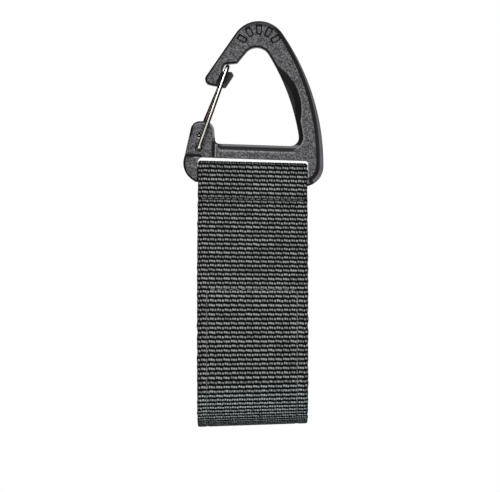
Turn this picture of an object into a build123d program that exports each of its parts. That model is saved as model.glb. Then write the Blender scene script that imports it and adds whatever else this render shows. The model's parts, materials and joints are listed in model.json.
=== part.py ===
from build123d import *

import os
from math import acos, atan2, cos, degrees, radians, sin

# Extension cord holder: a moulded snap ring with a sprung wire gate carries a strap of 50 mm
# webbing that closes on itself with hook and loop tape.
# Millimetres, +Z up, the front faces -Y. The origin is the centre of the eye's round top, where
# the ring hangs, at the middle of its thickness.

# Driving dimensions of the snap ring, in its own plane: across, then up from the origin
hang_tilt = 1.9
ring_depth = 9.0
edge_bevel = 0.8
apex_center = (0.8, 5.3)
apex_radius = 12.6
apex_right_angle = 36.7
apex_left_angle = 147.0
ring_right = 31.2
ring_left = -31.2
ring_bottom = -55.0
corner_radius = 9.0
side_straight = 0.5
ear_shoulder = (-28.6, -32.0)
arm_end = (-25.5, -12.2)

eye_radius = 6.2
eye_right_angle = 33.6
eye_left_angle = 139.5
eye_corner_radius = 4.0
crossbar_top = -37.2
spine_inner_foot = (20.6, crossbar_top)

# The nose that catches the gate, and the thin ear that carries it
shelf_inner = (-8.7, -1.1)
shelf_outer = (-14.1, -1.8)
notch_floor = (-15.6, -5.3)
barb_top = (-10.9, -5.0)
barb_side = (-10.0, -6.6)
barb_foot = (-13.6, -12.4)
nose_slope = 0.18
nose_radius = 2.5
corner_margin = 0.1
step_foot = (-19.4, -14.0)
ear_top = -27.4
ear_right = -17.2
ear_right_top = -18.4
ear_radius = 4.2
ear_foot_radius = 2.0
ear_step = -17.3
ear_bevel = 0.8
ear_bevel_angle = 45.0
thin_depth = 4.4

# Slot for the strap, and the round-edged bar that the strap is folded on
slot_center = -0.27
slot_top = -43.5
slot_height = 4.0
slot_corner = 1.2
slot_left_corner = 1.8
bar_height = 7.0
bar_depth = 5.0
bar_round = 2.4
bar_root = 1.0

# Grip flutes round the top, the stepped outer rim of the spine, its dished inner edge, and the band
# that runs on from there round the corner and along the crossbar
flute_count = 5
flute_spread = 116.0
flute_middle = 91.7
flute_width = 2.7
flute_length = 4.7
flute_reach = 8.7
flute_depth = 0.8
flute_draft = 30.0
flute_round = 1.2
scoop_top = (9.6, -2.0)
scoop_waist = (19.3, -14.0)
scoop_foot = (19.9, -28.5)
scoop_depth = 2.0
rim_width = 3.3
rim_top_width = 2.0
rim_depth = 0.6
rim_slope = 70.0
rim_lead = 10.0
rim_turn = 70.0
band_left = -16.0
band_top = -24.0
band_width = 2.0
band_depth = 1.4
slope_angle = 55.0

# Wire gate
wire_diameter = 2.0
wire_clearance = 0.3
pivot_clearance = 0.05
gate_swing = 38.0
gate_end = (-12.9, -2.9)
pivot = (-24.6, -39.5)
upper_foot_rise = 5.8
foot_bend = 1.3
end_bend = 2.0
front_window = (1.5, 2.6)
window_skin = 1.3

# Strap of webbing, with the heights of its stitch rows below the slot's top edge
strap_width = 48.4
strap_thickness = 1.6
row_pitch = 1.98
groove_depth = 0.3
slot_end_clearance = 0.4
strap_shift = -0.15
fold_clearance = 0.35
bar_side_clearance = 0.4
layer_gap = 0.1
front_lean = 16.0
first_row_drop = 18.8
second_row_drop = 58.8
tail_past_row = 3.0
crease_past_tail = 1.7
crease_radius = 12.0
strap_drop = 118.7
front_bend = 22.2
bottom_run = 16.0
back_bend = 24.0
pinch_drop = 64.0
pinch_radius = 8.0
free_end_drop = 40.0
tail_bend = 3.0

# Hook patch, loop tape and pull tab
tape_width = 46.0
hook_thickness = 1.2
loop_thickness = 1.0
row_margin = 1.5
tape_past_crease = 4.5
tab_width = 21.0
tab_sewn = 8.0
tab_length = 20.0
tab_gap = 1.0

# The ring hangs a little tipped, so it is drawn in a turned plane whose normal faces the front
tilt = radians(hang_tilt)
ring_plane = Plane(origin=(0, 0, 0), x_dir=(cos(tilt), 0, -sin(tilt)), z_dir=(0, -1, 0))
side_foot_height = ring_bottom + corner_radius + side_straight
small_radius = edge_bevel + corner_margin
ear_lean = (ear_shoulder[0] - arm_end[0]) / (ear_shoulder[1] - arm_end[1])
ear_left_top = arm_end[0] + ear_lean * (ear_top - arm_end[1])
slot_width = strap_width + 2 * slot_end_clearance
bar_top = slot_top - slot_height
wire_radius = wire_diameter / 2
leg_depth = thin_depth / 2 + wire_clearance + wire_radius
upper_foot = (pivot[0], pivot[1] + upper_foot_rise)
far = 4 * ring_depth


def corner_near(sketch, point):
    """The sketch's corner nearest to a point of its plane."""
    return sketch.vertices().sort_by_distance(Vector(*point))[0]


with BuildPart() as carabiner_frame:
    # Solid outline of the ring
    with BuildSketch(ring_plane) as outline:
        with BuildLine():
            apex = CenterArc(apex_center, apex_radius, apex_right_angle, apex_left_angle - apex_right_angle)
            spine = TangentArc(apex @ 0, (ring_right, side_foot_height), tangent=(apex % 0) * -1)
            sides = Polyline(
                apex @ 1,
                arm_end,
                ear_shoulder,
                (ring_left, side_foot_height),
                (ring_left, ring_bottom),
                (ring_right, ring_bottom),
                spine @ 1,
            )
        make_face()
        fillet(corner_near(outline, (ring_left, ring_bottom)), corner_radius)
        fillet(corner_near(outline, (ring_right, ring_bottom)), corner_radius)
        # Eye, notch and gate gap leave as one opening that runs out to the left
        with BuildLine():
            eye_top = CenterArc((0, 0), eye_radius, eye_right_angle, eye_left_angle - eye_right_angle)
            inner_spine = TangentArc(eye_top @ 0, spine_inner_foot, tangent=(eye_top % 0) * -1)
            mouth = Polyline(
                eye_top @ 1,
                shelf_inner,
                shelf_outer,
                notch_floor,
                barb_top,
                barb_side,
                barb_foot,
                (barb_foot[0] - far, barb_foot[1] + nose_slope * far),
                (barb_foot[0] - far, ear_top),
                (ear_right_top, ear_top),
                (ear_right, crossbar_top),
                inner_spine @ 1,
            )
        make_face(mode=Mode.SUBTRACT)
        fillet(corner_near(outline, spine_inner_foot), eye_corner_radius)
        fillet(corner_near(outline, (ear_right, crossbar_top)), ear_foot_radius)
        fillet(corner_near(outline, (ear_right_top, ear_top)), ear_radius)
        fillet(corner_near(outline, (ear_shoulder[0], ear_top)), ear_radius)
        fillet(corner_near(outline, arm_end), nose_radius)
        for corner in (shelf_inner, shelf_outer, notch_floor, barb_top, barb_side, barb_foot):
            fillet(corner_near(outline, corner), small_radius)
    extrude(amount=ring_depth / 2, both=True)
    chamfer(carabiner_frame.faces().filter_by(Axis.Y).edges(), edge_bevel)

    # Both faces: the ear and the inside of the nose are thinned, so that the gate's legs lie flush
    for side in (1, -1):
        with BuildSketch(ring_plane.offset(side * thin_depth / 2)):
            with BuildLine():
                Polyline(
                    (ear_step, slot_top),
                    (ear_step, step_foot[1] - nose_radius),
                    (ear_step - far, step_foot[1] - nose_radius),
                    (ear_step - far, slot_top),
                    close=True,
                )
            make_face()
            with BuildLine():
                Polyline(
                    shelf_outer,
                    (shelf_inner[0], shelf_outer[1]),
                    (shelf_inner[0], step_foot[1]),
                    step_foot,
                    close=True,
                )
            make_face()
        extrude(amount=side * ring_depth, mode=Mode.SUBTRACT)

    # Both faces: the ear's outer edge is bevelled round the part that stands above the crossbar
    with BuildSketch(mode=Mode.PRIVATE) as ear_inside:
        with BuildLine():
            Polyline(
                (ear_left_top, ear_top),
                (ear_right_top, ear_top),
                (ear_right, crossbar_top),
                (ear_right, slot_top - far),
                (ring_left, slot_top - far),
                (ring_left, side_foot_height),
                ear_shoulder,
                close=True,
            )
        make_face()
        fillet(corner_near(ear_inside, (ear_right_top, ear_top)), ear_radius)
        fillet(corner_near(ear_inside, (ear_left_top, ear_top)), ear_radius)
        offset(amount=-ear_bevel, mode=Mode.REPLACE)
    for side in (1, -1):
        ear_plane = ring_plane.offset(side * thin_depth / 2)
        with BuildPart(mode=Mode.PRIVATE) as ear_trim:
            with BuildSketch(ear_plane):
                with Locations((ear_right, crossbar_top + ear_foot_radius + ear_bevel)):
                    Rectangle(far, far / 3, align=(Align.CENTER, Align.MIN))
            extrude(amount=-side * ear_bevel)
            with BuildSketch(ear_plane):
                add(ear_inside.sketch)
            extrude(amount=-side * ear_bevel, taper=-ear_bevel_angle, mode=Mode.SUBTRACT)
        add(ear_trim.part, mode=Mode.SUBTRACT)

    # Both faces: grip flutes, stepped outer rim, dished inner edge and the band below it
    with BuildSketch(mode=Mode.PRIVATE) as flute:
        Rectangle(flute_length, flute_width)
        fillet(flute.vertices().group_by(Axis.X)[0], flute_round)
    rim_top = apex @ 0 - (apex @ 0 - Vector(*apex_center)).normalized() * rim_top_width
    for side in (1, -1):
        face_plane = ring_plane.offset(side * ring_depth / 2)
        with BuildSketch(face_plane):
            with Locations(apex_center):
                with PolarLocations(
                    flute_reach,
                    flute_count,
                    start_angle=flute_middle - flute_spread / 2,
                    angular_range=flute_spread,
                    endpoint=True,
                ):
                    add(flute.sketch)
        extrude(amount=-side * flute_depth, taper=flute_draft, mode=Mode.SUBTRACT)
        with BuildSketch(face_plane):
            with BuildLine():
                ThreePointArc(scoop_top, scoop_waist, scoop_foot)
                Polyline(scoop_foot, (scoop_foot[0] - far / 3, scoop_foot[1]), scoop_top)
            make_face()
        extrude(amount=-side * scoop_depth, taper=slope_angle, mode=Mode.SUBTRACT)
        with BuildSketch(face_plane):
            with BuildLine():
                corner_center = (ring_right - corner_radius, ring_bottom + corner_radius)
                rim_corner = CenterArc(corner_center, corner_radius - rim_width, -rim_turn, rim_turn)
                rim_side = TangentArc(rim_corner @ 1, rim_top, tangent=(0, 1))
                lead = Line(rim_side @ 1, rim_side @ 1 + (rim_side % 1) * rim_lead)
                Polyline(lead @ 1, (far, far), (far, -far - far), rim_corner @ 0)
            make_face()
        extrude(amount=-side * rim_depth, taper=rim_slope, mode=Mode.SUBTRACT)
        with BuildSketch(face_plane) as band:
            with Locations(inner_spine.arc_center):
                Circle(inner_spine.radius + band_width)
            with Locations((band_left, crossbar_top - band_width)):
                Rectangle(
                    2 * far,
                    band_top - crossbar_top + band_width,
                    align=(Align.MIN, Align.MIN),
                    mode=Mode.INTERSECT,
                )
            band_corner = corner_near(band, (spine_inner_foot[0], crossbar_top - band_width))
            fillet(band_corner, eye_corner_radius + band_width)
        extrude(amount=-side * band_depth, taper=slope_angle, mode=Mode.SUBTRACT)

    # Slot, open downwards, then the bar that closes it
    with BuildSketch(ring_plane) as slot:
        with Locations((slot_center, slot_top)):
            Rectangle(slot_width, far, align=(Align.CENTER, Align.MAX))
        fillet(corner_near(slot, (slot_center - slot_width / 2, slot_top)), slot_left_corner)
        fillet(corner_near(slot, (slot_center + slot_width / 2, slot_top)), slot_corner)
    extrude(amount=ring_depth, both=True, mode=Mode.SUBTRACT)
    bar_length = slot_width + 2 * bar_root
    bar_end = ring_plane.from_local_coords((slot_center - bar_length / 2, bar_top - bar_height / 2, 0))
    with BuildSketch(Plane(origin=bar_end, x_dir=(0, 1, 0), z_dir=ring_plane.x_dir)):
        RectangleRounded(bar_depth, bar_height, bar_round)
    extrude(amount=bar_length)

    # Pivot hole, the blind arc slot at the back for the upper foot, and the window in front of it
    with BuildSketch(ring_plane):
        with Locations(pivot):
            Circle(wire_radius + pivot_clearance)
        with Locations(upper_foot):
            SlotOverall(front_window[1], front_window[0], rotation=90)
    extrude(amount=ring_depth, both=True, mode=Mode.SUBTRACT)
    with BuildSketch(ring_plane.offset(thin_depth / 2 - window_skin)):
        with BuildLine(mode=Mode.PRIVATE):
            foot_travel = CenterArc(pivot, upper_foot_rise, 90, -gate_swing)
        SlotArc(foot_travel, 2 * (wire_radius + wire_clearance))
    extrude(amount=-ring_depth, mode=Mode.SUBTRACT)
carabiner_frame.part.label = "carabiner_frame"

with BuildPart() as wire_gate:
    with BuildLine(ring_plane) as gate_path:
        FilletPolyline(
            (*pivot, -thin_depth / 2),
            (*pivot, leg_depth),
            (*gate_end, leg_depth),
            (*gate_end, -leg_depth),
            (*upper_foot, -leg_depth),
            (*upper_foot, thin_depth / 2 - window_skin - wire_clearance),
            radius=[foot_bend, end_bend, end_bend, foot_bend],
        )
    with BuildSketch(Plane(origin=gate_path.line @ 0, z_dir=gate_path.line % 0)):
        Circle(wire_radius)
    sweep(path=gate_path.line)
wire_gate.part.label = "wire_gate"

# The strap hangs plumb. Its side view is drawn in a plane across it: back, then up
slot_middle = ring_plane.from_local_coords((slot_center, slot_top, 0))
strap_plane = Plane.YZ.offset(slot_middle.X + strap_shift)
lean = radians(front_lean)
down = Vector(-sin(lean), -cos(lean))
inward = Vector(cos(lean), -sin(lean))
fold_radius = bar_depth / 2 + bar_side_clearance + strap_thickness / 2
fold_gap = fold_clearance + strap_width / 2 * sin(tilt)
fold_center = slot_middle.Z - slot_height + fold_gap + strap_thickness / 2 - fold_radius
fold_front = Vector(0, fold_center) - inward * fold_radius
tail_offset = strap_thickness + layer_gap
hook_offset = tail_offset + strap_thickness / 2 + layer_gap + hook_thickness / 2
loop_inset = strap_thickness / 2 + layer_gap + loop_thickness / 2
close_offset = hook_offset + hook_thickness / 2 + layer_gap + loop_thickness / 2 + loop_inset


def front_point(drop, offset=0):
    """A point at a depth below the slot on the leaning front run, or on a layer behind it."""
    start = fold_front + inward * offset
    return start + down * ((start.Y - slot_middle.Z + drop) / cos(lean))


# Corners and bends of the loop, at the middle of the webbing's thickness
tail_drop = second_row_drop + tail_past_row
crease_drop = tail_drop + crease_past_tail
crease = front_point(crease_drop)
loop_bottom = slot_middle.Z - strap_drop + strap_thickness / 2
back_center = Vector(crease.X + front_bend + bottom_run, loop_bottom + back_bend)
pinch = front_point(pinch_drop, close_offset)
to_pinch = pinch - back_center
back_turn = 90 + degrees(atan2(to_pinch.Y, to_pinch.X) - acos(back_bend / to_pinch.length))
back_run = radians(back_turn)
back_inward = Vector(-sin(back_run), cos(back_run))


def mitre(first, second, inset):
    """How far a corner moves when its two runs, with these inward normals, move inwards."""
    return (first + second) * (inset / (1 + first.dot(second)))


def loop_path(start, inset, end_drop):
    """The strap's loop from a point on its front, at an inset from the middle of the webbing."""
    corner = crease + mitre(inward, Vector(1, 0), inset)
    nip = pinch + mitre(back_inward, -inward, inset)
    free_end = front_point(end_drop, close_offset - inset)
    bend_start = Vector(corner.X, loop_bottom + front_bend)
    if start.Y > corner.Y:
        FilletPolyline(start, corner, bend_start, radius=crease_radius - inset)
    else:
        Line(start, bend_start)
    front_arc = JernArc(bend_start, (0, -1), front_bend - inset, 90)
    bottom = Line(front_arc @ 1, front_arc @ 1 + Vector(bottom_run, 0))
    back_arc = JernArc(bottom @ 1, (1, 0), back_bend - inset, back_turn)
    FilletPolyline(back_arc @ 1, nip, free_end, radius=pinch_radius + inset)


def ribbed_side(run, side):
    """One face of the webbing in side view: a crest and a groove for each woven row."""
    rows = round(run.length / row_pitch)
    points = []
    for step in range(2 * rows + 1):
        place = step / (2 * rows)
        along = run.tangent_at(place)
        height = strap_thickness / 2 - groove_depth * (step % 2)
        points.append(run.position_at(place) + Vector(-along.Y, along.X) * (side * height))
    return points


with BuildPart() as webbing_strap:
    with BuildSketch(strap_plane):
        with BuildLine(mode=Mode.PRIVATE) as strap_run:
            tail = FilletPolyline(
                front_point(tail_drop, tail_offset),
                front_point(first_row_drop - tail_bend / 2, tail_offset),
                (fold_radius, slot_middle.Z - slot_height - bar_height),
                (fold_radius, fold_center),
                radius=tail_bend,
            )
            fold = JernArc(tail @ 1, (0, 1), fold_radius, 180 - front_lean)
            loop_path(fold @ 1, 0, free_end_drop)
        run = strap_run.wire()
        with BuildLine():
            Polyline(*ribbed_side(run, 1), *reversed(ribbed_side(run, -1)), close=True)
        make_face()
    extrude(amount=strap_width / 2, both=True)
webbing_strap.part.label = "webbing_strap"

with BuildPart() as hook_patch:
    with BuildSketch(strap_plane):
        with BuildLine():
            Line(
                front_point(first_row_drop + row_margin, hook_offset),
                front_point(second_row_drop - row_margin, hook_offset),
            )
        trace(line_width=hook_thickness)
    extrude(amount=tape_width / 2, both=True)
hook_patch.part.label = "hook_patch"

with BuildPart() as loop_tape:
    with BuildSketch(strap_plane):
        with BuildLine():
            tape_start = Vector(crease.X + loop_inset, slot_middle.Z - crease_drop - tape_past_crease)
            loop_path(tape_start, loop_inset, free_end_drop + tab_sewn + tab_gap)
        trace(line_width=loop_thickness)
    extrude(amount=tape_width / 2, both=True)
loop_tape.part.label = "loop_tape"

with BuildPart() as pull_tab:
    with BuildSketch(strap_plane):
        with BuildLine():
            Line(
                front_point(free_end_drop + tab_sewn, close_offset - loop_inset),
                front_point(free_end_drop - tab_length, close_offset - loop_inset),
            )
        trace(line_width=loop_thickness)
    extrude(amount=tab_width / 2, both=True)
pull_tab.part.label = "pull_tab"

os.makedirs("parts", exist_ok=True)
for piece in (carabiner_frame, wire_gate, webbing_strap, hook_patch, loop_tape, pull_tab):
    export_step(piece.part, f"parts/{piece.part.label}.step")
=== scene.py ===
# %% [markdown]
# A cord holder is a moulded snap ring with a sprung wire gate, and a strap of woven webbing that is
# folded round the ring's lower bar and closes on itself with hook and loop tape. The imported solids
# give every size and place. This lesson keeps their frame and dresses them: welded copies where the
# solid's shape is right, and new woven, sewn and hooked pieces where the real thing has more to show.

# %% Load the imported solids
import json
import math
import random

import bmesh
import bpy
from mathutils import Matrix, Vector, noise


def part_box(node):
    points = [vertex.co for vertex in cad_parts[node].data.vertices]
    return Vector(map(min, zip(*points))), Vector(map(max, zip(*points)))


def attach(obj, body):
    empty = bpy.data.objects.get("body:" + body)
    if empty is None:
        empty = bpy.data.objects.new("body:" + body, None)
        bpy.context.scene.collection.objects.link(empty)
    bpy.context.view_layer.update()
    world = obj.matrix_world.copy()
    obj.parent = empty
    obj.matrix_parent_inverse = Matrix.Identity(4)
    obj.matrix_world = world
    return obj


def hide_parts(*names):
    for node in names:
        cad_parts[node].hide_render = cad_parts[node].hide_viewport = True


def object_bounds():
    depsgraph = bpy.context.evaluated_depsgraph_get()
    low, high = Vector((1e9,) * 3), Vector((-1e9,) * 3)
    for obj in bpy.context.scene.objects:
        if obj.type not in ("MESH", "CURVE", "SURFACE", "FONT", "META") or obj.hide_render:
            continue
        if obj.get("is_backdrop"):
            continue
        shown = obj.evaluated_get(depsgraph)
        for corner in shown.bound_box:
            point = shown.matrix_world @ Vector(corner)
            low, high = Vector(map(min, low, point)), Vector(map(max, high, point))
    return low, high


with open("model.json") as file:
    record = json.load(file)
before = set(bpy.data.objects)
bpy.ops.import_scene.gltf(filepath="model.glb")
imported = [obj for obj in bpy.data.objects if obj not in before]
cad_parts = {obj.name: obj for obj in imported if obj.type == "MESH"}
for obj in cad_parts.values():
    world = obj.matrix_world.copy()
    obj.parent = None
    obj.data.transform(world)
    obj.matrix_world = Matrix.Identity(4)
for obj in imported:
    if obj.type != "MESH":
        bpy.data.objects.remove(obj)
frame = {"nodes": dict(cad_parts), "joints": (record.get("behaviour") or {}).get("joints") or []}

MM = 0.001
scene = bpy.context.scene
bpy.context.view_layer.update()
print("solids:", ", ".join(sorted(frame["nodes"])))

# %% [markdown]
# The picture is a plain front view, so the camera looks along +Y with no roll. One pixel of the
# 500 x 492 frame is a fixed length on the ring's front face, and the lens follows from that length and
# the distance. A long lens from well back keeps the leaning strap from spreading towards the bottom.

# %% Camera
image_width = 500
pixel = 0.4445 * MM
view_center = Vector((-3.02, -4.5, -82.2)) * MM
camera_distance = 1.4
camera = bpy.data.objects.new("camera", bpy.data.cameras.new("camera"))
camera.location = view_center - Vector((0, camera_distance, 0))
camera.rotation_euler = (math.radians(90), 0, 0)
camera.data.sensor_width = 36
camera.data.lens = camera.data.sensor_width * camera_distance / (image_width * pixel)
scene.collection.objects.link(camera)
scene.camera = camera
scene.view_settings.view_transform = "Standard"
print("lens in mm:", round(camera.data.lens, 1))

# %% [markdown]
# Shader maths reads best as arithmetic. This small class holds one socket of a shader, and the
# operators on it add Math nodes to the same tree. One method makes any other node: it sets the node's
# own settings first, then the values or links of its sockets.

# %% Shader arithmetic
class Signal:
    """One output socket of a shader tree; arithmetic on it adds Math nodes."""

    def __init__(self, tree, socket=None):
        self.tree = tree
        self.socket = socket

    def node(self, kind, sockets=None, output=0, **settings):
        made = self.tree.nodes.new(kind)
        for name, value in settings.items():
            setattr(made, name, value)
        for key, value in (sockets or {}).items():
            if isinstance(value, Signal):
                self.tree.links.new(value.socket, made.inputs[key])
            else:
                made.inputs[key].default_value = value
        return Signal(self.tree, made.outputs[output])

    def outputs(self, *names):
        """Other outputs of the node that this socket belongs to."""
        return [Signal(self.tree, self.socket.node.outputs[name]) for name in names]

    def xyz(self):
        return self.node("ShaderNodeSeparateXYZ", {0: self}).outputs("X", "Y", "Z")

    def math(self, operation, *values):
        return self.node("ShaderNodeMath", dict(enumerate(values)), operation=operation)

    def __add__(self, other):
        return self.math("ADD", self, other)

    def __sub__(self, other):
        return self.math("SUBTRACT", self, other)

    def __rsub__(self, other):
        return self.math("SUBTRACT", other, self)

    def __mul__(self, other):
        return self.math("MULTIPLY", self, other)

    def __truediv__(self, other):
        return self.math("DIVIDE", self, other)

    def __pow__(self, other):
        return self.math("POWER", self, other)

    def __mod__(self, other):
        return self.math("FLOORED_MODULO", self, other)

    def __abs__(self):
        return self.math("ABSOLUTE", self)

    __radd__ = __add__
    __rmul__ = __mul__

    def floor(self):
        return self.math("FLOOR", self)

    def least(self, other):
        return self.math("MINIMUM", self, other)

    def most(self, other):
        return self.math("MAXIMUM", self, other)

    def step(self, low, high):
        """0 below low, 1 above high, smooth between."""
        sockets = {"Value": self, "From Min": low, "From Max": high}
        return self.node("ShaderNodeMapRange", sockets, interpolation_type="SMOOTHSTEP")

    def within(self, start, full, fading, gone):
        """Rises from 0 to 1 between start and full, and falls back to 0 between fading and gone."""
        return self.step(start, full) * (1 - self.step(fading, gone))

    def blend(self, first, second):
        """A colour that goes from first to second as this value goes from 0 to 1."""
        return self.node("ShaderNodeMix", {0: self, 6: first, 7: second}, output=2, data_type="RGBA")

    def feed(self, shader, socket):
        self.tree.links.new(self.socket, shader.inputs[socket])


def paint(red, green, blue):
    """A colour as a screen shows it, 0 to 255, turned into the light that it stands for."""
    light = [(c / 255 / 12.92) if c <= 10 else ((c / 255 + 0.055) / 1.055) ** 2.4 for c in (red, green, blue)]
    return (*light, 1)


def new_finish(name, **constants):
    """A material, its Principled shader and a Signal to start from; fixed values go on the shader."""
    material = bpy.data.materials.new(name)
    material.use_nodes = True
    shader = material.node_tree.nodes["Principled BSDF"]
    for socket, value in constants.items():
        shader.inputs[socket.replace("_", " ")].default_value = value
    return material, shader, Signal(material.node_tree)


print("white paint:", paint(255, 255, 255))

# %% [markdown]
# A shop photograph has a white sweep and broad soft lamps. The world lights the object gently, but
# rays that come straight from the camera or off something shiny meet plain white. The holder hangs,
# so the pale floor lies some way below it and catches its soft shadow.

# %% White surroundings
world = bpy.data.worlds.new("studio")
scene.world = world
world.use_nodes = True
around = Signal(world.node_tree)
rays = around.node("ShaderNodeLightPath")
from_camera, glossy, through = rays.outputs("Is Camera Ray", "Is Glossy Ray", "Is Transmission Ray")
seen = from_camera.most(glossy).most(through)
upward = around.node("ShaderNodeTexCoord", output="Generated").xyz()[2]
glow = 0.06 + 0.56 * upward.step(-0.5, 0.6)
ambient = around.node("ShaderNodeBackground", {"Color": (1, 1, 1, 1), "Strength": glow})
white = around.node("ShaderNodeBackground", {"Color": (1, 1, 1, 1), "Strength": 1.0})
sky = around.node("ShaderNodeMixShader", {0: seen, 1: ambient, 2: white})
world.node_tree.links.new(sky.socket, world.node_tree.nodes["World Output"].inputs["Surface"])
print("world nodes:", len(world.node_tree.nodes))

# %% Lamps
def lamp(name, place, size, watts):
    """A square soft lamp that faces the middle of the picture."""
    light = bpy.data.lights.new(name, "AREA")
    light.size = size
    light.energy = watts
    holder = bpy.data.objects.new(name, light)
    holder.location = place
    holder.rotation_euler = (view_center - Vector(place)).to_track_quat("-Z", "Y").to_euler()
    scene.collection.objects.link(holder)
    print(name, "gives", watts, "watts from", round((view_center - Vector(place)).length, 2), "m")


lamp("key_lamp", (-0.35, -1.1, 0.45), 0.5, 9.0)
lamp("fill_lamp", (0.7, -1.0, 0.2), 0.6, 4.0)
lamp("rim_lamp", (0.45, 0.5, 0.75), 0.4, 5.0)

# %% Floor
floor_height = -0.30
floor_finish = new_finish("floor_paper", Roughness=0.9, Base_Color=paint(236, 236, 234))[0]
bm = bmesh.new()
bmesh.ops.create_circle(bm, cap_ends=True, segments=96, radius=1.3)
bmesh.ops.translate(bm, verts=bm.verts, vec=(0, 0, floor_height))
floor_mesh = bpy.data.meshes.new("floor")
bm.to_mesh(floor_mesh)
bm.free()
floor_mesh.materials.append(floor_finish)
floor = bpy.data.objects.new("floor", floor_mesh)
floor.visible_diffuse = False
scene.collection.objects.link(floor)
floor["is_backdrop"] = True

# %% [markdown]
# A bright wire in an all-white room looks like paper. Photographers stand dark cards at its sides, so
# that the wire mirrors them and its edges turn dark. These two cards are seen by mirror rays only.

# %% Dark cards
card_finish = new_finish("dark_card", Roughness=1.0, Specular_IOR_Level=0.0, Base_Color=paint(16, 11, 9))[0]
card_height = -0.08
card_places = (("dark_card_left", -0.55, -0.7, 0.8), ("dark_card_right", 0.3, -0.75, 0.6))
for name, east, front, back in card_places:
    bm = bmesh.new()
    bmesh.ops.create_grid(bm, x_segments=1, y_segments=1, size=0.5)
    turn = Matrix.Rotation(math.radians(90), 4, "Y")
    wide = Matrix.Diagonal((1, back - front, 1, 1))
    middle = Matrix.Translation((east, (front + back) / 2, card_height))
    bmesh.ops.transform(bm, verts=bm.verts, matrix=middle @ turn @ wide)
    card_mesh = bpy.data.meshes.new(name)
    bm.to_mesh(card_mesh)
    bm.free()
    card_mesh.materials.append(card_finish)
    card = bpy.data.objects.new(name, card_mesh)
    card.visible_camera = False
    card.visible_diffuse = False
    card.visible_shadow = False
    card.visible_transmission = False
    scene.collection.objects.link(card)
    card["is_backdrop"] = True
    print(name, "stands", round(abs(east), 2), "m to the side, from", front, "to", back)

# %% [markdown]
# Every piece ends the same way: its mesh gets a finish, it rides on one of the solid model's bodies,
# and it may stand for a solid. The ring and the gate already have their true shapes as solids, so
# their pieces are welded copies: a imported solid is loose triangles, and only welded ones can be
# shaded smoothly round a curve and crisply at an edge.

# %% Pieces and welded copies
def finished_piece(name, bm, body, finish, replaced=None, crisp=180):
    """Turns a bmesh into a piece that rides on a body; edges sharper than crisp degrees stay sharp."""
    mesh = bpy.data.meshes.new(name)
    bm.to_mesh(mesh)
    bm.free()
    mesh.materials.append(finish)
    mesh.shade_smooth()
    if crisp < 180:
        mesh.set_sharp_from_angle(angle=math.radians(crisp))
    piece = bpy.data.objects.new(name, mesh)
    scene.collection.objects.link(piece)
    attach(piece, body)
    if replaced:
        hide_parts(replaced)
    print(name, "has", sum(len(p.vertices) - 2 for p in mesh.polygons), "triangles")
    return piece


def welded_copy(node):
    """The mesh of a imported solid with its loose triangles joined."""
    bm = bmesh.new()
    bm.from_mesh(frame["nodes"][node].data)
    bmesh.ops.remove_doubles(bm, verts=bm.verts, dist=0.001 * MM)
    return bm


# %% [markdown]
# The ring is glass-filled nylon. Its flat faces come from a spark-eroded mould and have a fine light
# grain, while bevels, flutes and the dished inner edge are smoother and darker. Painting that by place
# alone would blur at the edges, so face attributes mark the flat faces and the floor of the sunken rim.

# %% Ring plastic
ring_finish, ring_shader, ring = new_finish("ring_nylon", Specular_IOR_Level=0.16)
place = ring.node("ShaderNodeTexCoord", output="Object")
flat = ring.node("ShaderNodeAttribute", output="Fac", attribute_name="flat_face")
ledge = ring.node("ShaderNodeAttribute", output="Fac", attribute_name="ledge_face")
grain = ring.node("ShaderNodeTexNoise", {"Vector": place, "Scale": 2100, "Detail": 2, "Roughness": 0.6})
cloud = ring.node("ShaderNodeTexNoise", {"Vector": place, "Scale": 240, "Detail": 3})
speck = grain.step(0.40, 0.69)
grained = (speck * 0.8 + cloud * 0.2).blend(paint(20, 19, 22), paint(136, 134, 139))
smooth = cloud.blend(paint(15, 13, 14), paint(27, 24, 25))
rim_floor = cloud.blend(paint(78, 76, 80), paint(108, 106, 111))
colour = ledge.blend(flat.blend(smooth, grained), rim_floor)
print("plastic nodes:", len(ring_finish.node_tree.nodes))

# %% [markdown]
# Some of the moulding's edges get painted light and shade by place: a painted highlight on the crossbar's top
# bevel and on the outer rim, and painted shade along the crest, on the barb and at the foot of the
# crossbar's bevel. These tones go by millimetres east, forth and north of the eye's centre. The ring
# hangs tipped, so heights on its crossbar are tipped too.

# %% Ring painted light and shade by place
ring_tip = math.radians(1.9)
ring_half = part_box("carabiner_frame")[1].y / MM
east, forth, north = (axis / MM for axis in place.xyz())
level = east * math.sin(ring_tip) + north
sunk = ring_half - abs(forth)

# painted highlight along the top of the crossbar's bevel
bar_top_highlight = level.within(-38.5, -37.9, -36.9, -36.7) * east.within(-17, -15, 18, 20) * (1 - flat)
colour = bar_top_highlight.blend(colour, paint(106, 104, 107))

sideways, forwards, _ = ring.node("ShaderNodeNewGeometry", output="True Normal").xyz()
# painted highlight on the outer rim's right-facing bevels, lightest farthest from the front face
outer_bevel = sideways.step(0.3, 0.5) * abs(forwards).step(0.5, 0.62) * (1 - flat)
rim_highlight_tone = sunk.step(0.65, 0.9).blend(paint(84, 82, 86), paint(150, 148, 152))
colour = (outer_bevel * sunk.step(0.2, 0.45) * 0.85).blend(colour, rim_highlight_tone)

from_eye = (east ** 2.0 + north ** 2.0) ** 0.5
# painted shade in a band on the flat face along the crest's outer edge
crest_shade = from_eye.step(15.2, 15.9) * north.step(3, 8) * flat
colour = (crest_shade * 0.65).blend(colour, paint(30, 28, 32))

at_nose = (1 - east.step(-11.5, -10.5)) * north.within(-14, -13, -5.0, -3.5)
# painted shade on the barb beside the wire
barb = at_nose * east.step(-14.4, -13.8) * flat
colour = (barb * 0.75).blend(colour, paint(14, 14, 15))

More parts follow.
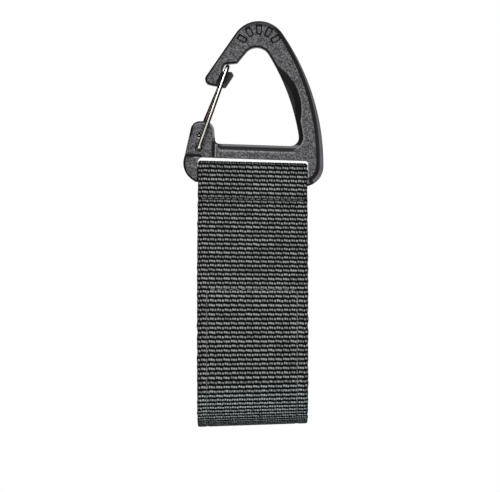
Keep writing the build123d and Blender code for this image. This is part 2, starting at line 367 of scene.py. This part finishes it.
along_bar = east.within(-17.5, -16, 16, 19) * flat
bar_shade = level.within(-40.0, -39.75, -38.5, -38.0) * along_bar
colour = (bar_shade * 0.8).blend(colour, paint(14, 13, 16))
print("ring's half thickness in mm:", round(ring_half, 2))

# %% [markdown]
# Painted highlights lighten the lower edges where they face up and to the left, towards the light,
# and a line along the crossbar; at the arm's far left edge the same mask paints a dark line. Painted
# shade darkens each crease and inner corner. A Bevel node tells which way an edge leans, and ambient
# occlusion tells how open a place is. Both look at the surface and not at the camera, so this painted
# light and shade stays put in every view. A painted shadow lies as a dark ring round the gate's pivot.

# %% Ring painted highlights and shade
pivot = Vector(frame["joints"][0]["pos_m"]) / MM
highlight_way = (-0.55, 0, 0.83)
edge_normal = ring.node("ShaderNodeBevel", {"Radius": 0.8 * MM}, samples=8)
lean = ring.node("ShaderNodeVectorMath", {0: edge_normal, 1: highlight_way}, output="Value", operation="DOT_PRODUCT")
open_air = ring.node("ShaderNodeAmbientOcclusion", {"Distance": 2.5 * MM}, output="AO", samples=64,
                     only_local=True)
from_pivot = ((east - pivot.x) ** 2.0 + (north - pivot.z) ** 2.0) ** 0.5
low_half = (1 - north.step(-13, -11)) * from_pivot.step(2.6, 3.2)
bar_highlight_line = (1 - abs(level + 40.3).step(0.15, 0.55)) * along_bar
# painted highlight on lower edges leaning towards the light and a line along the crossbar; at the arm's far
# left a painted dark line
painted_edges = lean.step(0.02, 0.1) * open_air.step(0.93, 0.985) * low_half
painted_edges = painted_edges.most(bar_highlight_line * (0.3 + speck * 0.7)) * flat * (1 - bar_shade)
painted_edge_tone = east.step(-28.4, -27.6).blend(paint(14, 14, 15), paint(172, 170, 173))
colour = (painted_edges * 0.75).blend(colour, painted_edge_tone)
# painted shade in inner corners from ambient occlusion, held lighter at the crest and the nose
crease_shade = (open_air + 0.14 * north.step(2, 4)).step(0.80, 0.92).most(at_nose * 0.5)
# painted shadow: a dark ring round the gate's pivot
unshaded = crease_shade * from_pivot.step(1.35, 2.0)
unshaded.blend(paint(5, 5, 6), colour).feed(ring_shader, "Base Color")
print("pivot in mm:", [round(value, 1) for value in pivot])

# %% Ring relief
(0.4 + flat * 0.22 + speck * 0.08).feed(ring_shader, "Roughness")
rounded = ring.node("ShaderNodeBevel", {"Radius": 0.45 * MM}, samples=6)
grain_height = grain * flat * (1 - ledge)
bumps = ring.node("ShaderNodeBump", {"Height": grain_height, "Strength": 0.6, "Distance": 0.12 * MM,
                                     "Normal": rounded})
bumps.feed(ring_shader, "Normal")
print("ring finish nodes:", len(ring_finish.node_tree.nodes))

# %% [markdown]
# The ring's mesh is the welded solid. Its faces get the two attributes here, by the way they face and
# how far they are sunk. An edge stays sharp where a flat face meets another, because a normal shared
# across it would spread a false gradient over the large flat triangles.

# %% Ring
facing_out = 0.98
dish_depth = (1.9, 2.1)
ledge_depth = (0.4, 0.7)
crease_angle = math.radians(24)
bm = welded_copy("carabiner_frame")
bm.normal_update()
flat_face = bm.faces.layers.float.new("flat_face")
ledge_face = bm.faces.layers.float.new("ledge_face")
for face in bm.faces:
    depth = ring_half - abs(face.calc_center_median().y) / MM
    dished = dish_depth[0] < depth < dish_depth[1]
    face[flat_face] = 1.0 if abs(face.normal.y) > facing_out and not dished else 0.0
    face[ledge_face] = face[flat_face] if ledge_depth[0] < depth < ledge_depth[1] else 0.0
print("flat share of the ring's faces:", round(sum(f[flat_face] for f in bm.faces) / len(bm.faces), 2))
for edge in bm.edges:
    level_sides = {abs(face.normal.y) > facing_out for face in edge.link_faces}
    edge.smooth = len(level_sides) == 1 and edge.calc_face_angle(0) < crease_angle
finished_piece("snap_ring", bm, "holder", ring_finish, "carabiner_frame")

# %% [markdown]
# The gate is one bent spring wire, drawn through a die and plated. Handling leaves small smudges, so its
# roughness varies a little with place. The inside of the loop is painted dark brown, a painted shade:
# there, a point's Y and its normal's Y have opposite signs.

# %% Gate
gate_finish, gate_shader, gate = new_finish("plated_wire", Metallic=1.0)
place = gate.node("ShaderNodeTexCoord", output="Object")
smudge = gate.node("ShaderNodeTexNoise", {"Vector": place, "Scale": 260, "Detail": 3})
facing = gate.node("ShaderNodeNewGeometry", output="Normal")
outwards = gate.node("ShaderNodeVectorMath", {0: place, 1: facing}, operation="MULTIPLY").xyz()[1]
outside = outwards.step(-1.2 * MM, 0.4 * MM)
bright = smudge.step(0.35, 0.75).blend(paint(222, 219, 213), paint(186, 180, 171))
# painted shade: dark brown on the inside of the loop
outside.blend(paint(36, 20, 15), bright).feed(gate_shader, "Base Color")
(0.07 + smudge * 0.12).feed(gate_shader, "Roughness")
finished_piece("gate_wire", welded_copy("wire_gate"), "gate", gate_finish, "wire_gate", crisp=40)

# %% [markdown]
# Seen from the side, the webbing is one long path: up from the sewn tail, round the bar, down the
# front, and round the loop to the free end. A path is walked here: it goes straight, bends about a
# radius, or rounds a corner to a new heading. The walk then gives the place at any distance along it.

# %% Paths in side view
class Path:
    """A walk in side view: back, then up, in millimetres, with a heading in degrees."""

    def __init__(self, start, heading):
        self.legs = []
        self.spot, self.angle, self.length = Vector(start), math.radians(heading), 0.0

    def go(self, length, turn=0.0):
        leg = (self.length, self.spot, self.angle, length, math.radians(turn))
        self.legs.append(leg)
        self.spot, self.angle = self.on_leg(leg, length)
        self.length += length

    def reach(self, point):
        self.go((Vector(point) - self.spot).length)

    def bend(self, turn, radius):
        self.go(radius * math.radians(abs(turn)), turn)

    def corner(self, point, heading, radius):
        """Goes straight towards a point, and rounds the corner there to a new heading."""
        turn = (heading - math.degrees(self.angle) + 180) % 360 - 180
        cut = radius * math.tan(math.radians(abs(turn)) / 2)
        self.go((Vector(point) - self.spot).length - cut)
        self.bend(turn, radius)

    @staticmethod
    def on_leg(leg, distance):
        _, spot, angle, length, turn = leg
        if turn == 0:
            return spot + distance * Vector((math.cos(angle), math.sin(angle))), angle
        radius, end = length / turn, angle + turn * distance / length
        swing = Vector((math.sin(end) - math.sin(angle), math.cos(angle) - math.cos(end)))
        return spot + radius * swing, end

    def at(self, distance):
        """The place, the heading and the outward normal after walking a distance."""
        leg = next(g for g in reversed(self.legs) if g[0] <= distance or g is self.legs[0])
        spot, angle = self.on_leg(leg, distance - leg[0])
        return spot, Vector((math.cos(angle), math.sin(angle))), Vector((math.sin(angle), -math.cos(angle)))


quarter_turn = Path((0, 0), 0)
quarter_turn.bend(90, 10)
print("a quarter turn of radius 10 ends at", [round(value, 1) for value in quarter_turn.spot])

# %% [markdown]
# The strap's layers lie one behind another on the front run, which leans: the webbing, its sewn tail, the
# hook patch, the loop tape and the free end. All are placed by how far they lie below the slot's top edge
# and how far behind the front, with the sizes that the solids have, so every piece fills its solid.

# %% Layers of the strap
slot_edge = -43.46
bar_center = -49.181
bar_foot = -54.46
fold_radius = 3.7
front_lean = math.radians(16)
front_up = 90 - math.degrees(front_lean)
front_down = front_up - 180
half_webbing = 0.8
layer_gap = 0.1
half_hook = 0.6
half_tape = 0.5
tail_layer = 2 * half_webbing + layer_gap
hook_layer = tail_layer + half_webbing + layer_gap + half_hook
tape_inset = half_webbing + layer_gap + half_tape
closed_layer = hook_layer + half_hook + layer_gap + half_tape + tape_inset
down = Vector((-math.sin(front_lean), -math.cos(front_lean)))
inward = Vector((math.cos(front_lean), -math.sin(front_lean)))


def front_point(drop, layer=0.0):
    """A point so far below the slot's top edge, on the leaning front run or a layer behind it."""
    start = Vector((0, bar_center)) - inward * (fold_radius - layer)
    return start + down * ((start.y - slot_edge + drop) / math.cos(front_lean))


print("layers behind the front in mm:", [round(v, 1) for v in (tail_layer, hook_layer, closed_layer)])

# %% [markdown]
# Below the seams, the strap creases to plumb, turns under in two wide bends and comes up again to the
# pinch, where the free end lies back on the hooks. The tape runs on the inside of the same loop, so one
# function walks both, with an inset. The last bend turns just far enough to aim at the pinch.

# %% Walks of the strap, the tape, the hooks and the tab
first_seam_drop, second_seam_drop = 18.8, 58.8
tail_drop = second_seam_drop + 3.0
crease_drop = tail_drop + 1.7
pinch_drop = 64.0
free_end_drop = 40.0
strap_drop = 118.7
tail_bend, crease_bend, pinch_bend = 3.0, 12.0, 8.0
front_bend, bottom_run, back_bend = 22.2, 16.0, 24.0
crease = front_point(crease_drop)
pinch = front_point(pinch_drop, closed_layer)
loop_bottom = slot_edge - strap_drop + half_webbing
back_center = Vector((crease.x + front_bend + bottom_run, loop_bottom + back_bend))
to_pinch = pinch - back_center
back_turn = 90 + math.degrees(math.atan2(to_pinch.y, to_pinch.x) - math.acos(back_bend / to_pinch.length))
back_inward = Vector((-math.sin(math.radians(back_turn)), math.cos(math.radians(back_turn))))


def walk_loop(path, inset, end_drop):
    """From the plumb front run round the loop to a free end, at an inset from the webbing's middle."""
    nip = pinch + (back_inward - inward) * (inset / (1 - back_inward.dot(inward)))
    path.reach((crease.x + inset, loop_bottom + front_bend))
    path.bend(90, front_bend - inset)
    path.go(bottom_run)
    path.bend(back_turn, back_bend - inset)
    path.corner(nip, front_up, pinch_bend + inset)
    path.reach(front_point(end_drop, closed_layer - inset))


tail_corner = front_point(first_seam_drop - tail_bend / 2, tail_layer)
to_bar = Vector((fold_radius, bar_foot)) - tail_corner
strap_path = Path(front_point(tail_drop, tail_layer), front_up)
strap_path.corner(tail_corner, math.degrees(math.atan2(to_bar.y, to_bar.x)), tail_bend)
strap_path.corner((fold_radius, bar_foot), 90, tail_bend)
strap_path.reach((fold_radius, bar_center))
strap_path.bend(90 + front_up, fold_radius)
strap_path.corner(crease, -90, crease_bend)
walk_loop(strap_path, 0.0, free_end_drop)

tape_past_crease, seam_margin = 4.5, 1.5
tab_length, tab_sewn, tab_gap = 20.0, 8.0, 1.0
tape_path = Path((crease.x + tape_inset, slot_edge - crease_drop - tape_past_crease), -90)
walk_loop(tape_path, tape_inset, free_end_drop + tab_sewn + tab_gap)
hook_path = Path(front_point(first_seam_drop + seam_margin, hook_layer), front_down)
hook_path.reach(front_point(second_seam_drop - seam_margin, hook_layer))
tab_path = Path(front_point(free_end_drop - tab_length, closed_layer - tape_inset), front_down)
tab_path.reach(front_point(free_end_drop + tab_sewn, closed_layer - tape_inset))
print("webbing length in mm:", round(strap_path.length, 1), "loop tape:", round(tape_path.length, 1))
print("hook patch:", round(hook_path.length, 1), "pull tab:", round(tab_path.length, 1))

# %% [markdown]
# A ribbon starts as a flat grid. One direction of the grid is wrapped round the ribbon's section, which
# has a front, two rounded edges and a back, and the other follows a path. The strap also hangs with a
# slight twist: its rows lie along the tipped bar at the top and rise to the right at the bottom.

# %% Ribbons
strap_middle = -1.862
strap_width = 48.9
top_fall, bottom_rise, last_rise = 1.5, 2.0, 1.4
twist_top, twist_length = -44.0, 118.0
waist_share, waist_low, waist_length = 0.008, -80, 28


def section(width, thickness, face_columns, back_columns, edge_columns=4):
    """Columns round a ribbon: how far across in mm, and how far out, from -1 to 1."""
    edge = thickness / 2
    reach = width / 2 - edge
    columns = []
    for i in range(face_columns):
        columns.append((-reach + 2 * reach * i / face_columns, 1.0))
    for i in range(edge_columns):
        angle = math.pi * i / edge_columns
        columns.append((reach + edge * math.sin(angle), math.cos(angle)))
    for i in range(back_columns):
        columns.append((reach - 2 * reach * i / back_columns, -1.0))
    for i in range(edge_columns + 1):
        angle = math.pi * i / edge_columns
        columns.append((-reach - edge * math.sin(angle), -math.cos(angle)))
    return columns


def row_slope(height):
    """How steeply the strap's rows fall to the right at a height in mm."""
    share = min(1.0, max(0.0, (twist_top - height) / twist_length))
    return math.tan(math.radians(top_fall - bottom_rise * share - last_rise * share ** 3))


def to_frame(spot, across):
    """A point of a side view, so far across the strap, as it hangs, in metres."""
    waist = 1 - waist_share * min(1.0, max(0.0, (spot.y - waist_low) / waist_length))
    return Vector((strap_middle + across * waist, spot.x, spot.y - across * row_slope(spot.y))) * MM


def ribbon(path, columns, first, last, steps, lift, pitch=(1.0, 1.0), waver=0.0):
    """A closed ribbon along a path from first to last mm; lift gives its half thickness in mm."""
    bm = bmesh.new()
    around = len(columns) - 1
    bmesh.ops.create_grid(bm, x_segments=around, y_segments=steps, size=0.5)
    weave = bm.loops.layers.uv.new("weave")
    spots = {}
    for vert in bm.verts:
        across, out = columns[round((vert.co.x + 0.5) * around)]
        along = first + (vert.co.y + 0.5) * (last - first)
        spot, _, normal = path.at(along)
        spots[vert.index] = (across, along)
        across += waver * noise.noise((along * 0.35, 7.0 if across > 0 else 0.0, 0.0)) * across / 25
        vert.co = to_frame(spot + normal * (lift(across, along, out) * out), across)
    for face in bm.faces:
        for corner in face.loops:
            across, along = spots[corner.vert.index]
            corner[weave].uv = (across / pitch[0], along / pitch[1])
    bmesh.ops.remove_doubles(bm, verts=bm.verts, dist=0.0005 * MM)
    bmesh.ops.holes_fill(bm, edges=[e for e in bm.edges if e.is_boundary], sides=0)
    bmesh.ops.recalc_face_normals(bm, faces=bm.faces)
    return bm


print("rows fall to the right, top and bottom:", round(row_slope(-45), 3), round(row_slope(-160), 3))

# %% [markdown]
# The webbing is woven: thick weft rows, two millimetres apart, are crossed by floats of warp yarn in
# groups of three. Every second row breaks its groups half a yarn either side of the others' joins. The
# same rule makes the ribs in the mesh and the colours in the finish, so light and colour agree. The rows
# are counted from the sewn tail: across is measured in yarns, along in rows.

# %% Weave
row_count = 175
row_pitch = strap_path.length / row_count
yarn_pitch = 1.087
group = 3.0
stray = 0.59
slant = 0.16
first_seam_row, second_seam_row = 44, 65
first_seam, second_seam = first_seam_row * row_pitch, second_seam_row * row_pitch
side_seams = (-20.2, 19.6)
side_seam_end = 332


def float_height(across, along):
    """0 in the furrow between rows, 1 on the crown of a float; across in yarns, along in rows."""
    place = across % group
    near = min(place, group - place)
    odd = int(along) % 2
    if odd:
        near = abs(near - stray)
    tilt = (across - stray * odd) % group / group - 0.5
    crown = abs(math.sin(math.pi * (along - slant * tilt)))
    yarn = abs(math.sin(math.pi * (across + odd / 2)))
    return crown * (0.5 + 0.5 * min(1.0, near / 0.3)) * (0.88 + 0.12 * yarn)


def seam_dip(across, along):
    """How far the sewing pulls the webbing in, in mm."""
    dip = 0.0
    for seam in (first_seam, second_seam):
        if seam == first_seam or abs(across + 1) < 20:
            dip = max(dip, 1 - abs(along - seam) / 1.4)
    if second_seam < along < side_seam_end + 1:
        for seam in side_seams:
            dip = max(dip, 1 - abs(across - seam) / 0.9)
    return 0.2 * dip


def webbing_lift(across, along, out):
    """Half the webbing's thickness at a place, in mm."""
    if out > 0.99:
        height = float_height(across / yarn_pitch, along / row_pitch)
        return 0.38 + 0.46 * height - seam_dip(across, along)
    return 0.62 + 0.16 * abs(math.sin(math.pi * along / row_pitch))


print("rows of", round(row_pitch, 2), "mm, groups of", round(group * yarn_pitch, 2), "mm")

# %% [markdown]
# The yarns are dyed black, and the light that catches the crown of each float is painted in as a row of
# beads, one for each yarn: a painted highlight. The finish adds what the mesh is too coarse for: the beads,
# the dark joins between groups, yarns that took the dye differently, and fuzz. Where the strap turns under
# at the bottom, the beads drift sideways and get a brighter, bluish painted sheen. The fold at the top gets
# painted shade, the rows beside the first seam are darker, and painted light makes the rows lighter lower
# down.

# %% Webbing finish
web_finish, web_shader, web = new_finish("black_webbing", Specular_IOR_Level=0.04, Sheen_Weight=0.02)
place = web.node("ShaderNodeUVMap", uv_map="weave")
across, along, _ = place.xyz()
odd = along.floor() % 2.0
in_group = across % group
near = in_group.least(group - in_group)
join = odd * abs(near - stray) + (1 - odd) * near
drift = web.node("ShaderNodeTexNoise", {"Vector": place, "Scale": 0.45, "Detail": 2})
tilt = ((across - stray * odd) % group) / group - 0.5
leaning = along - slant * tilt + 0.3 * (drift - 0.5)
crown = abs(along.math("SINE", leaning * math.pi))

turn_start, turn_end, turn_gone = 84, 98, 106
low = along.within(turn_start, 90, turn_end, turn_gone)
shifted = across + 0.5 * odd + 0.4 * (along.most(turn_start).least(turn_end) - turn_start)
yarn = abs(across.math("SINE", shifted * math.pi))
gap = (join * (1 + 0.3 * odd)).step(0.06, 0.46).most(0.7 * low)
beads = 0.32 - 0.24 * low + (0.68 + 0.24 * low) * yarn.step(0.12, 0.92)
crest = crown.step(0.6, 0.97) * (0.04 + 0.96 * gap) * beads

dash = web.node("ShaderNodeCombineXYZ", {0: (across / group).floor(), 1: along.floor()})
shade = web.node("ShaderNodeTexWhiteNoise", {"Vector": dash}, noise_dimensions="2D")
bead = web.node("ShaderNodeCombineXYZ", {0: shifted.floor(), 1: along.floor()})
spot = web.node("ShaderNodeTexWhiteNoise", {"Vector": bead}, noise_dimensions="2D")
fuzz = web.node("ShaderNodeTexNoise", {"Vector": place, "Scale": 2.6, "Detail": 3, "Roughness": 0.7})
# painted shade in the fold at the top
unfolded = 1 - along.within(31.0, 32.5, 34.8, 37.0)
sewn_in = 0.2 + 0.8 * abs(along - first_seam_row).step(0.2, 0.75)
# painted light and shade: rows darker on the upper front, lighter lower down and at the bottom turn
painted_row_light = 0.88 + 0.2 * along.step(60, 70) + 0.1 * low
# painted highlight: the lit crowns of the floats, as beads
light = crest * (0.5 + 0.4 * shade + 0.45 * spot) * (0.5 + 1.1 * fuzz) * (0.25 + 0.75 * unfolded)
light = (light * painted_row_light * sewn_in).least(1.0)

# painted sheen: the crowns are brighter and bluish on the bottom turn
painted_bottom_sheen = along.within(turn_start - 1, turn_end - 1, turn_end, turn_gone)
crown_highlight_tone = painted_bottom_sheen.blend(paint(155, 158, 156), paint(238, 249, 254))
colour = light.blend(paint(7, 9, 9), crown_highlight_tone)
edge_colour = light.blend(paint(7, 8, 11), paint(112, 117, 128))
selvedge = abs(across).step(21.4, 22.4)
selvedge.blend(colour, edge_colour).feed(web_shader, "Base Color")
(0.9 - 0.15 * light).feed(web_shader, "Roughness")
fibres = web.node("ShaderNodeTexNoise", {"Vector": place, "Scale": 9, "Detail": 2})
fuzzy = web.node("ShaderNodeBump", {"Height": fibres, "Strength": 0.35, "Distance": 0.12 * MM})
fuzzy.feed(web_shader, "Normal")
print("webbing finish nodes:", len(web_finish.node_tree.nodes))

# %% [markdown]
# The front carries the picture, so its ribbon has four columns to a yarn. The tail and the back of the
# loop show less and are half as fine. All three walk the same path, so the rows run on across the joins.

# %% Webbing
web_pitch = (yarn_pitch, row_pitch)
web_thickness = 1.56
fine = section(strap_width, web_thickness, 184, 46)
plain = section(strap_width, web_thickness, 92, 24)
tail_row, bend_row = 31, 96
stretches = (
    ("webbing_tail", plain, 0, tail_row, 4),
    ("webbing_front", fine, tail_row, bend_row, 5),
    ("webbing_loop", plain, bend_row, row_count, 4),
)
for name, columns, start_row, last_row, steps in stretches:
    bm = ribbon(strap_path, columns, start_row * row_pitch, last_row * row_pitch,
                (last_row - start_row) * steps, webbing_lift, web_pitch, waver=0.35)
    replaced = "webbing_strap" if name == "webbing_front" else None
    finished_piece(name, bm, "holder", web_finish, replaced)

# %% [markdown]
# The hook patch is a moulded sheet with rows of tiny hooks. One hook is a short stem bent over at the
# tip: a small ring of vertices is spun through the bend. It is copied in rows over the sheet, and each
# second row leans the other way, as on real tape.

# %% Hook patch
hook_finish, hook_shader, hook = new_finish("hook_nylon", Specular_IOR_Level=0.4)
place = hook.node("ShaderNodeTexCoord", output="Object")
mottle = hook.node("ShaderNodeTexNoise", {"Vector": place, "Scale": 700, "Detail": 3})
mottle.blend(paint(20, 20, 21), paint(52, 52, 54)).feed(hook_shader, "Base Color")
(0.35 + 0.25 * mottle).feed(hook_shader, "Roughness")

hook_pitch = 1.5
patch_reach = 22.2
tape_width = 46


def hook_sheet_lift(across, along, out):
    return 0.6 if out > 0 else 0.22


bm = ribbon(hook_path, section(tape_width, 0.5, 40, 40), 0, hook_path.length, 40, hook_sheet_lift)
hook_bm = bmesh.new()
bmesh.ops.create_circle(hook_bm, segments=5, radius=0.13 * MM)
bmesh.ops.translate(hook_bm, verts=hook_bm.verts, vec=(0, 0, -0.15 * MM))
stem = bmesh.ops.extrude_edge_only(hook_bm, edges=hook_bm.edges)["geom"]
tip = [g for g in stem if isinstance(g, bmesh.types.BMVert)]
bmesh.ops.translate(hook_bm, verts=tip, vec=(0, 0, 0.35 * MM))
rim = [e for e in hook_bm.edges if all(v in tip for v in e.verts)]
bmesh.ops.spin(hook_bm, geom=rim + tip, cent=(0.25 * MM, 0, 0.2 * MM), axis=(0, 1, 0), steps=4,
               angle=math.radians(150))
bmesh.ops.holes_fill(hook_bm, edges=[e for e in hook_bm.edges if e.is_boundary], sides=0)
bmesh.ops.recalc_face_normals(hook_bm, faces=hook_bm.faces)
hook_mesh = bpy.data.meshes.new("one_hook")
hook_bm.to_mesh(hook_mesh)
hook_bm.free()
rows = int(hook_path.length / hook_pitch)
for row in range(rows):
    spot, heading, normal = hook_path.at((row + 0.5) * hook_pitch)
    for i in range(int(2 * patch_reach / hook_pitch)):
        across = -patch_reach + (i + 0.5) * hook_pitch
        lean = 1 if row % 2 else -1
        side, up = Vector((0, heading.x, heading.y)) * lean, -Vector((0, normal.x, normal.y))
        turn = Matrix((side, up.cross(side), up)).transposed().to_4x4()
        placed = hook_mesh.copy()
        placed.transform(Matrix.Translation(to_frame(spot + normal * 0.05, across)) @ turn)
        bm.from_mesh(placed)
        bpy.data.meshes.remove(placed)
finished_piece("hook_patch_sheet", bm, "holder", hook_finish, "hook_patch", crisp=50)

# %% [markdown]
# The loop tape is a knitted sheet with a raised, brushed pile. Seen close it is a low fuzzy cushion, so
# the pile side of its ribbon is raised in small tufts, and the finish has a soft sheen.

# %% Loop tape
pile_finish, pile_shader, pile = new_finish("loop_pile", Roughness=0.95, Specular_IOR_Level=0.1,
                                            Sheen_Weight=0.3, Sheen_Roughness=0.5)
place = pile.node("ShaderNodeUVMap", uv_map="weave")
tuft = pile.node("ShaderNodeTexNoise", {"Vector": place, "Scale": 1.6, "Detail": 5, "Roughness": 0.75})
tuft.step(0.3, 0.75).blend(paint(14, 14, 15), paint(66, 66, 68)).feed(pile_shader, "Base Color")
curl = pile.node("ShaderNodeBump", {"Height": tuft, "Strength": 0.8, "Distance": 0.25 * MM})
curl.feed(pile_shader, "Normal")


def pile_lift(across, along, out):
    if out < -0.99:
        return 0.4 + 0.1 * noise.noise((across * 1.7, along * 1.7, 3.0))
    return 0.42


bm = ribbon(tape_path, section(tape_width, 0.9, 20, 72), 0, tape_path.length, 300, pile_lift)
finished_piece("loop_tape_pile", bm, "holder", pile_finish, "loop_tape")

# %% [markdown]
# The pull tab is a short end of narrow webbing, sewn under the free end so that fingers can lift it.
# It uses the same ribbon and weave rule at a finer pitch.

# %% Pull tab
tab_yarn, tab_row = 0.9, 1.35
tab_width = 21


def tab_lift(across, along, out):
    if abs(out) > 0.99:
        return 0.3 + 0.2 * float_height(across / tab_yarn, along / tab_row)
    return 0.48


tab_section = section(tab_width, 1.0, 92, 92)
bm = ribbon(tab_path, tab_section, 0, tab_path.length, 108, tab_lift, (tab_yarn, tab_row))
finished_piece("pull_tab_webbing", bm, "holder", web_finish, "pull_tab")

# %% [markdown]
# Everything is sewn with one thick black thread. A stitch is a short length of thread that dives at both
# ends, so each is a small stretched sphere, half sunk in the webbing along its seam.

# %% Sewing
thread_finish, thread_shader, thread = new_finish("sewing_thread", Roughness=0.7, Specular_IOR_Level=0.2)
place = thread.node("ShaderNodeTexCoord", output="Object")
twist = thread.node("ShaderNodeTexNoise", {"Vector": place, "Scale": 2500, "Detail": 2})
twist.blend(paint(40, 42, 43), paint(122, 125, 125)).feed(thread_shader, "Base Color")
random.seed(5)
thread_bm = bmesh.new()


def stitch(path, along, across, raised, lengthwise, sway=0.09, length=2.3):
    """One stitch on a path: raised mm out from its middle, along the path or across it."""
    spot, heading, normal = path.at(along)
    run, out = Vector((0, heading.x, heading.y)), Vector((0, normal.x, normal.y))
    side = Vector((1, 0, 0))
    first, second = (run, side) if lengthwise else (side, run)
    turn = Matrix((first, second, first.cross(second))).transposed().to_4x4()
    size = Matrix.Diagonal((length / 2 * MM, 0.3 * MM, 0.26 * MM, 1))
    place = Matrix.Translation(to_frame(spot + normal * raised, across))
    skew = Matrix.Rotation(random.uniform(-sway, sway), 4, out)
    bmesh.ops.create_uvsphere(thread_bm, u_segments=6, v_segments=6, radius=1.0,
                              matrix=place @ skew @ turn @ size @ Matrix.Rotation(math.pi / 2, 4, "Y"))


def seam_across(path, along, reach, raised, sway=0.09, pitch=2.7):
    count = int(2 * reach / pitch)
    for i in range(count):
        stitch(path, along, (i - (count - 1) / 2) * pitch, raised, False, sway)


def seam_along(path, first, last, across, raised, pitch=2.7):
    for i in range(int((last - first) / pitch)):
        stitch(path, first + (i + 0.5) * pitch, across, raised, True)


seam_across(strap_path, first_seam, 24, 0.62)
seam_across(strap_path, second_seam, 20, 0.62, sway=0.4)
for across in side_seams:
    seam_along(strap_path, second_seam, side_seam_end, across, 0.46)
    seam_along(tape_path, 0, tape_path.length, across, -0.4)
for inset in (2.2, 6.4):
    seam_across(strap_path, strap_path.length - inset, 9.5, 0.7)
seam_across(tab_path, 2.0, 9, -0.45)
bmesh.ops.recalc_face_normals(thread_bm, faces=thread_bm.faces)
finished_piece("sewing_thread", thread_bm, "holder", thread_finish)

# %% Size of the dressed model
low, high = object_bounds()
print("dressed box in mm:", [round((b - a) / MM, 1) for a, b in zip(low, high)])
